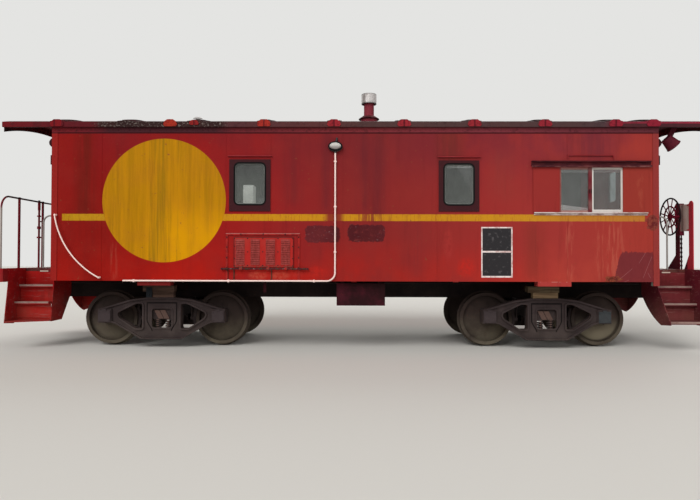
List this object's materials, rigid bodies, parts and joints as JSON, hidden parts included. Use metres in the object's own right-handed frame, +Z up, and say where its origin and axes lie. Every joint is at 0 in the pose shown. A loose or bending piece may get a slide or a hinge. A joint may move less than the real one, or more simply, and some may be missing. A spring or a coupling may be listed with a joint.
{
  "type": "caboose",
  "caption": "Short steel railway caboose with end platforms, roof stack and two four-wheeled trucks, carrying a train crew at the rear of a freight train.",
  "frame": {"origin": "middle of the car at the height of the wheel flanges' lowest points", "axes": "+X along the car towards the hand-brake end, +Z up, -Y towards the side with the battery door"},
  "size_m": [11.5, 2.994, 4.2998],
  "materials": {
    "red_paint": "sun-faded satin paint with rust",
    "maroon_paint": "worn satin paint",
    "door_paint": "faded satin paint",
    "roof_paint": "matt paint with tar and rust",
    "white_paint": "satin paint",
    "grey_paint": "worn satin paint",
    "galvanized_sheet": "weathered galvanized sheet",
    "window_pane": "clear",
    "wheel_steel": "brown rust, worn rim",
    "cast_steel": "dusty matt casting",
    "underframe_paint": "dusty dark paint",
    "wood_blocks": "weathered sawn timber",
    "floor_boards": "worn boards"
  },
  "bodies": {
    "car": {"air_reservoir": "underframe_paint", "battery_box": "red_paint", "brake_cylinder": "underframe_paint", "brake_pipe": "underframe_paint", "brake_stand": "maroon_paint", "brake_wheel": "underframe_paint", "cabinet": "white_paint", "center_sill": "underframe_paint", "couplers": "cast_steel", "cross_members": "underframe_paint", "drip_rails": "red_paint", "end_beams": "red_paint", "end_fittings": "maroon_paint", "end_lamp": "maroon_paint", "end_railing_left": "maroon_paint", "end_railing_right": "maroon_paint", "end_wall_left": "red_paint", "end_wall_right": "red_paint", "floor": "floor_boards", "grab_rails": "white_paint", "hand_rails": "grey_paint", "platform_decks": "maroon_paint", "roof": "roof_paint", "roof_vent": "roof_paint", "side_lamp": "grey_paint", "side_sills": "underframe_paint", "side_wall_far": "red_paint", "side_wall_near": "red_paint", "slider_frames": "white_paint", "slider_rails": "white_paint", "slider_shutters": "red_paint", "smoke_stack": "maroon_paint", "stack_cap": "galvanized_sheet", "step_risers": "red_paint", "step_sides": "maroon_paint", "step_treads": "maroon_paint", "underfloor_box": "underframe_paint", "wall_conduit": "white_paint", "window_frames": "red_paint", "window_glass": "window_pane"},
    "truck_left": {"truck_left_side_frames": "cast_steel", "truck_left_bolster": "cast_steel", "truck_left_springs": "cast_steel", "truck_left_brake_beams": "cast_steel", "truck_left_blocks": "wood_blocks"},
    "wheelset_left_inner": {"wheelset_left_inner": "wheel_steel"},
    "wheelset_left_outer": {"wheelset_left_outer": "wheel_steel"},
    "end_door_left": {"end_door_left": "door_paint", "end_door_glass_left": "window_pane"},
    "truck_right": {"truck_right_side_frames": "cast_steel", "truck_right_bolster": "cast_steel", "truck_right_springs": "cast_steel", "truck_right_brake_beams": "cast_steel", "truck_right_blocks": "wood_blocks"},
    "wheelset_right_inner": {"wheelset_right_inner": "wheel_steel"},
    "wheelset_right_outer": {"wheelset_right_outer": "wheel_steel"},
    "end_door_right": {"end_door_right": "door_paint", "end_door_glass_right": "window_pane"},
    "louver_door": {"louver_door": "red_paint"}
  },
  "joints": [
    {"name": "truck_left_swivel", "type": "hinge", "parent": "car", "child": "truck_left", "pos_m": [-3.01, 0, 0.69], "axis": [0, 0, 1], "range_deg": [-8, 8]},
    {"name": "wheelset_left_outer_roll", "type": "hinge", "parent": "truck_left", "child": "wheelset_left_outer", "pos_m": [-3.899, 0, 0.4445], "axis": [0, 1, 0], "continuous": true},
    {"name": "wheelset_left_inner_roll", "type": "hinge", "parent": "truck_left", "child": "wheelset_left_inner", "pos_m": [-2.121, 0, 0.4445], "axis": [0, 1, 0], "continuous": true},
    {"name": "end_door_left_swing", "type": "hinge", "parent": "car", "child": "end_door_left", "pos_m": [-4.495, 0.355, 1.24], "axis": [0, 0, 1], "range_deg": [0, 90]},
    {"name": "truck_right_swivel", "type": "hinge", "parent": "car", "child": "truck_right", "pos_m": [3.01, 0, 0.69], "axis": [0, 0, 1], "range_deg": [-8, 8]},
    {"name": "wheelset_right_outer_roll", "type": "hinge", "parent": "truck_right", "child": "wheelset_right_outer", "pos_m": [3.899, 0, 0.4445], "axis": [0, 1, 0], "continuous": true},
    {"name": "wheelset_right_inner_roll", "type": "hinge", "parent": "truck_right", "child": "wheelset_right_inner", "pos_m": [2.121, 0, 0.4445], "axis": [0, 1, 0], "continuous": true},
    {"name": "end_door_right_swing", "type": "hinge", "parent": "car", "child": "end_door_right", "pos_m": [4.495, -0.355, 1.24], "axis": [0, 0, 1], "range_deg": [0, 90]},
    {"name": "louver_door_drop", "type": "hinge", "parent": "car", "child": "louver_door", "pos_m": [-1.355, -1.464, 1.245], "axis": [1, 0, 0], "range_deg": [0, 170]}
  ]
}
